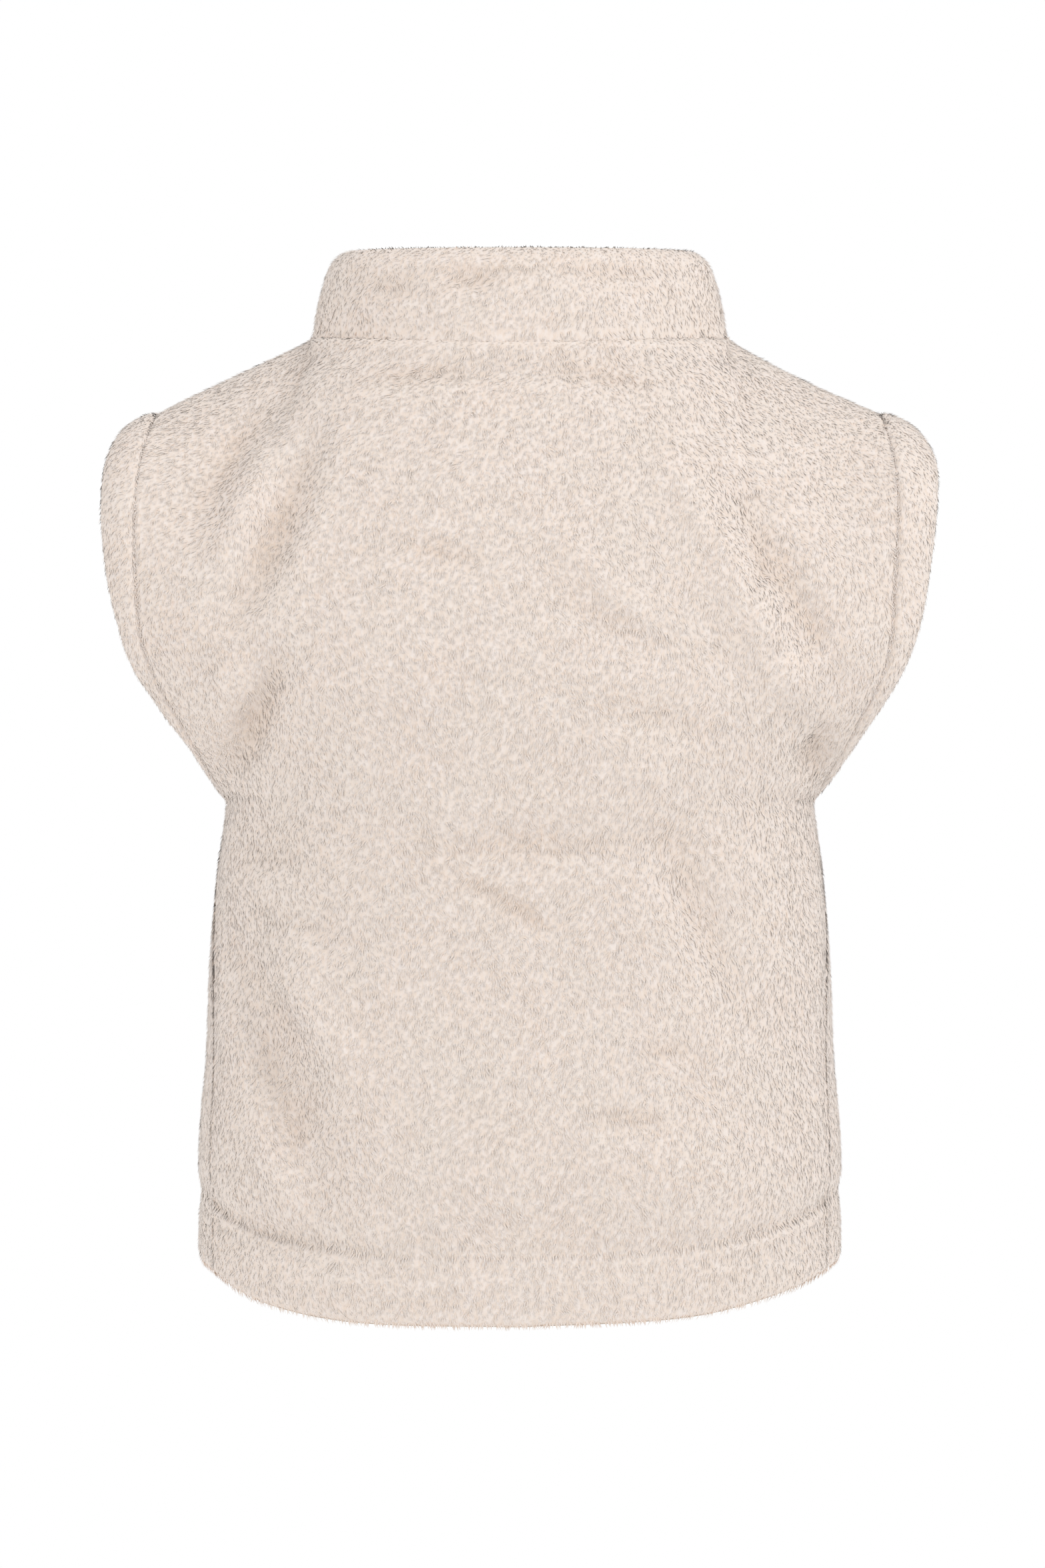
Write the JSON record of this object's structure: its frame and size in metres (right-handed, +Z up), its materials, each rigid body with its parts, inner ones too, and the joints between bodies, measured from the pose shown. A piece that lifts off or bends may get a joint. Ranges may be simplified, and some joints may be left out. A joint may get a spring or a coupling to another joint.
{
  "type": "faux fur vest",
  "caption": "Short sleeveless vest of plush faux fur with a stand collar, wide turned armhole bands, a turned hem and a closed front zip, in its worn form.",
  "frame": {"origin": "on the vest's middle line, between the shoulders, level with the seam at the back of the neck", "axes": "+Z up, +X to the wearer's left, -Y the way the wearer faces"},
  "size_m": [0.5257, 0.2683, 0.6729],
  "materials": {
    "fur_back": "soft upright pile, matt",
    "fur_front": "soft upright pile, matt",
    "fur_collar": "soft upright pile, matt",
    "fur_band": "soft upright pile, matt",
    "zip_cloth": "fine woven tape",
    "zip_metal": "pale gold, brushed"
  },
  "bodies": {
    "vest": {"back": "fur_back", "front_left": "fur_front", "front_right": "fur_front", "collar": "fur_collar", "armhole_band_left": "fur_band", "armhole_band_right": "fur_band", "zip_tape": "zip_cloth", "zip_slider": "zip_metal", "zip_box": "zip_metal"},
    "pull": {"zip_pull": "zip_metal"}
  },
  "joints": [
    {"name": "pull_swing", "type": "hinge", "parent": "vest", "child": "pull", "pos_m": [0, -0.08956, -0.00008], "axis": [-1, 0, 0], "range_deg": [0, 150]}
  ]
}
